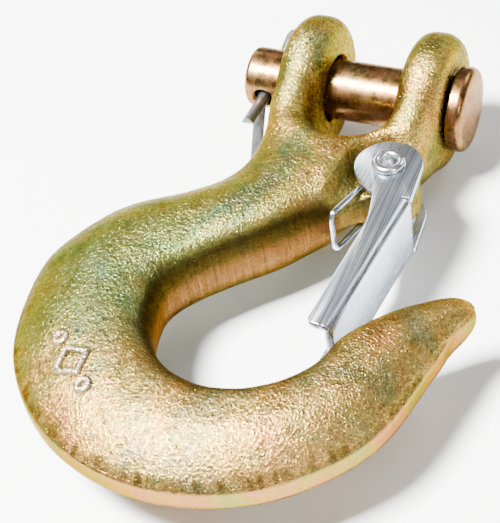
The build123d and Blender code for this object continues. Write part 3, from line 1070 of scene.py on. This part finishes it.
# Rolled rivet steel, zinc plated: bright, with small dents and creases where the set worked it.
def rolledRivetSteel():
    material, tree, shader, place = newMaterial("rolledRivetSteel", Metallic=1.0)
    dents = grain(tree, place, 1.3, 2, 0.6)
    colour = ramp(tree, dents, [(0.3, "A9ACB0"), (0.45, "D0D3D6"), (0.65, "E6E6E8")])
    tree.links.new(colour, shader.inputs["Base Color"])
    tree.links.new(scaled(tree, dents, 0.3, 0.7, 0.32, 0.16), shader.inputs["Roughness"])
    normal = bumped(tree, dents, 0.08, 0.3)
    tree.links.new(normal, shader.inputs["Normal"])
    return material


# Hard-drawn spring wire: polished, near mirror, with draw lines along it too fine to part, so they are
# drawn as short soft streaks.
def drawnSpringWire():
    material, tree, shader, place = newMaterial("drawnSpringWire", Metallic=1.0)
    streak = grain(tree, place, 1.6, 3, 0.5)
    colour = ramp(tree, streak, [(0.35, "8E949C"), (0.5, "B9BEC5"), (0.65, "D4D7DB")])
    tree.links.new(colour, shader.inputs["Base Color"])
    tree.links.new(scaled(tree, streak, 0.3, 0.7, 0.12, 0.24), shader.inputs["Roughness"])
    tree.links.new(bumped(tree, grain(tree, place, 0.3, 2), 0.01, 0.3), shader.inputs["Normal"])
    return material


# Plain steel cotter wire, bare and dulled: dark grey with brownish film in patches and scrapes.
def dulledCotterSteel():
    material, tree, shader, place = newMaterial("dulledCotterSteel", Metallic=1.0)
    film = grain(tree, place, 2.4, 4, 0.6)
    colour = ramp(tree, film, [(0.34, "5E5A56"), (0.48, "7E7E7C"), (0.64, "A2A3A6")])
    scrape = addNode(tree, "ShaderNodeMapping", values={"Scale": (3600, 260, 900)},
                     links={"Vector": place}).outputs["Vector"]
    lines = addNode(tree, "ShaderNodeTexNoise", values={"Scale": 1.0, "Detail": 2.0},
                    links={"Vector": scrape}).outputs["Fac"]
    scraped = ramp(tree, lines, [(0.35, "8A8580"), (0.6, "FFFFFF")])
    colour = blendColours(tree, 0.5, colour, scraped, "MULTIPLY")
    tree.links.new(colour, shader.inputs["Base Color"])
    tree.links.new(scaled(tree, film, 0.3, 0.7, 0.46, 0.30), shader.inputs["Roughness"])
    tree.links.new(bumped(tree, lines, 0.02, 0.5), shader.inputs["Normal"])
    return material


# A matt pale studio sweep, with the faintest unevenness.
def paleSweep():
    material, tree, shader, place = newMaterial("paleSweep", Roughness=0.9, Specular_IOR_Level=0.1)
    cloud = addNode(tree, "ShaderNodeTexNoise", values={"Scale": 6.0, "Detail": 2.0},
                    links={"Vector": place}).outputs["Fac"]
    colour = ramp(tree, cloud, [(0.3, "DDDDDC"), (0.7, "E2E2E1")])
    tree.links.new(colour, shader.inputs["Base Color"])
    return material


# Every piece: the body it rides on, the CAD node it stands for and its finish.
def fit(piece, bodyName, node, material):
    piece.data.materials.clear()
    piece.data.materials.append(material)
    if bodyName:
        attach(piece, bodyName)
    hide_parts(node)


fit(hook, "hook", "hook_body", forgedYellowZinc())
fit(clevisPin, "pin", "clevis_pin", turnedYellowZinc())
fit(cotterPin, "pin", "cotter_pin", dulledCotterSteel())
fit(latchSheet, "latch", "latch", brightZincSheet())
fit(latchRivet, "hook", "latch_rivet", rolledRivetSteel())
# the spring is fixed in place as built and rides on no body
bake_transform(latchSpring)
fit(latchSpring, None, "latch_spring", drawnSpringWire())
print("pieces fitted")

# Studio: a pale floor at the hook's lowest point, soft boxes as (place, size in metres, watts).
studio = dict(
    floorSide=6.0,
    boxes=[((-0.18, -0.20, 0.50), (0.17, 0.13), 40.0), ((0.42, -0.30, 0.34), (0.12, 0.30), 2.0),
           ((-0.42, 0.42, 0.34), (0.30, 0.12), 1.6), ((0.25, 0.45, 0.40), (0.20, 0.20), 2.0)],
    aim=(0, -0.045, 0),
    surround=0.22,
)


def makeStudio():
    floorAt = cadBox[0][2]
    half = studio["floorSide"] / 2
    mesh = bpy.data.meshes.new("floor")
    corners = np.array([(-half, -half), (half, -half), (half, half), (-half, half)])
    mesh.from_pydata(np.c_[corners, np.full(4, floorAt)].tolist(), [], [(0, 1, 2, 3)])
    floor = bpy.data.objects.new("floor", mesh)
    floor.data.materials.append(paleSweep())
    bpy.context.scene.collection.objects.link(floor)
    aim = Vector(studio["aim"])
    for number, (place, size, watts) in enumerate(studio["boxes"]):
        data = bpy.data.lights.new(f"softBox{number}", "AREA")
        data.shape, data.size, data.size_y, data.energy = "RECTANGLE", *size, watts
        box = bpy.data.objects.new(f"softBox{number}", data)
        box.location = place
        box.rotation_euler = (aim - Vector(place)).to_track_quat("-Z", "Y").to_euler()
        bpy.context.scene.collection.objects.link(box)
    world = bpy.data.worlds.new("studioAir")
    bpy.context.scene.world = world
    world.use_nodes = True
    world.node_tree.nodes["Background"].inputs["Color"].default_value = (1, 1, 1, 1)
    world.node_tree.nodes["Background"].inputs["Strength"].default_value = studio["surround"]


makeStudio()
print("studio lit")
